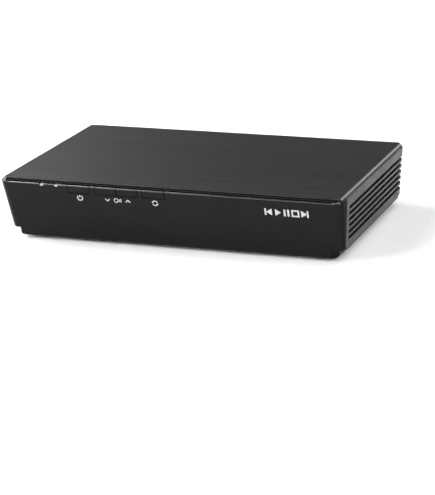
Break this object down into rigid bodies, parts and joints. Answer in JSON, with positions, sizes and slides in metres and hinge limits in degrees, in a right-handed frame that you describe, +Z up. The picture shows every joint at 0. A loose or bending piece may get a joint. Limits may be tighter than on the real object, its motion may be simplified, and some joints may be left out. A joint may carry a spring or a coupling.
{
  "type": "streaming media player",
  "caption": "Low set-top box with a leaning gloss front, sprung front keys, louvred sides, a bevelled brushed top plate and rear video, network and antenna sockets.",
  "frame": {"origin": "on the table, under the middle of the box that bounds the whole player, sockets included", "axes": "+X to the right as seen from the front, +Y towards the rear sockets, +Z up; the keys face -Y"},
  "size_m": [0.2198, 0.1486, 0.0415],
  "materials": {
    "brushed_plate": "dark anodised, brushed along X, with bright machined bevels",
    "gloss_black": "satin gloss, passes infrared",
    "satin_grey": "fine moulded texture",
    "matte_black": "matte, moulded",
    "clear_acrylic": "frosted acrylic light guide",
    "rubber": "matte",
    "screw_steel": "zinc plated",
    "port_steel": "nickel plated",
    "port_plastic": "moulded connector plastic",
    "circuit_board": "green solder mask on glass laminate",
    "chip_black": "moulded package",
    "heat_sink_aluminium": "extruded, plain",
    "thermal_pad": "soft filled silicone",
    "ribbon": "flat flexible cable",
    "led_resin": "cast resin"
  },
  "bodies": {
    "casing": {"top_plate": "brushed_plate", "roof_frame": "matte_black", "front_bezel": "gloss_black", "left_side_panel": "satin_grey", "right_side_panel": "satin_grey", "base_tray": "matte_black", "rear_panel": "matte_black", "foot_1": "rubber", "foot_2": "rubber", "foot_3": "rubber", "foot_4": "rubber", "case_screw_1": "screw_steel", "case_screw_2": "screw_steel", "case_screw_3": "screw_steel", "case_screw_4": "screw_steel", "board_screw_1": "screw_steel", "board_screw_2": "screw_steel", "board_screw_3": "screw_steel", "board_screw_4": "screw_steel", "power_switch": "screw_steel", "volume_down_switch": "screw_steel", "volume_up_switch": "screw_steel", "input_switch": "screw_steel", "standby_light_pipe": "clear_acrylic", "standby_led": "led_resin", "network_light_pipe": "clear_acrylic", "network_led": "led_resin", "key_board": "circuit_board", "infrared_receiver": "chip_black", "ribbon_cable": "ribbon", "main_board": "circuit_board", "main_chip": "chip_black", "thermal_pad": "thermal_pad", "heat_sink": "heat_sink_aluminium", "memory_chip_1": "chip_black", "memory_chip_2": "chip_black", "power_capacitor": "chip_black", "power_inductor": "chip_black", "wireless_module": "port_steel", "wireless_antenna": "circuit_board", "hdmi_port": "port_steel", "usb_port_1": "port_steel", "usb_port_2": "port_steel", "lan_port": "port_steel", "optical_port": "port_plastic", "dc_jack": "port_plastic", "reset_switch": "screw_steel", "tuner_can": "port_steel", "antenna_socket_1": "port_steel", "antenna_socket_2": "port_steel"},
    "power_button": {"power_key": "gloss_black", "power_plunger": "port_plastic"},
    "volume_down_button": {"volume_down_key": "gloss_black", "volume_down_plunger": "port_plastic"},
    "volume_up_button": {"volume_up_key": "gloss_black", "volume_up_plunger": "port_plastic"},
    "input_button": {"input_key": "gloss_black", "input_plunger": "port_plastic"},
    "reset_button": {"reset_plunger": "port_plastic"},
    "optical_door": {"optical_shutter": "matte_black"}
  },
  "joints": [
    {"name": "power_press", "type": "slide", "parent": "casing", "child": "power_button", "axis": [0, 1, 0], "range_m": [0, 0.0005], "stiffness_N_per_m": 500},
    {"name": "volume_down_press", "type": "slide", "parent": "casing", "child": "volume_down_button", "axis": [0, 1, 0], "range_m": [0, 0.0005], "stiffness_N_per_m": 500},
    {"name": "volume_up_press", "type": "slide", "parent": "casing", "child": "volume_up_button", "axis": [0, 1, 0], "range_m": [0, 0.0005], "stiffness_N_per_m": 500},
    {"name": "input_press", "type": "slide", "parent": "casing", "child": "input_button", "axis": [0, 1, 0], "range_m": [0, 0.0005], "stiffness_N_per_m": 500},
    {"name": "reset_press", "type": "slide", "parent": "casing", "child": "reset_button", "axis": [0, -1, 0], "range_m": [0, 0.0003], "stiffness_N_per_m": 200},
    {"name": "optical_shutter_swing", "type": "hinge", "parent": "casing", "child": "optical_door", "pos_m": [0.042, 0.06495, 0.02], "axis": [-1, 0, 0], "range_deg": [0, 80], "stiffness_Nm_per_rad": 0.0001, "springref_deg": -17.19}
  ]
}
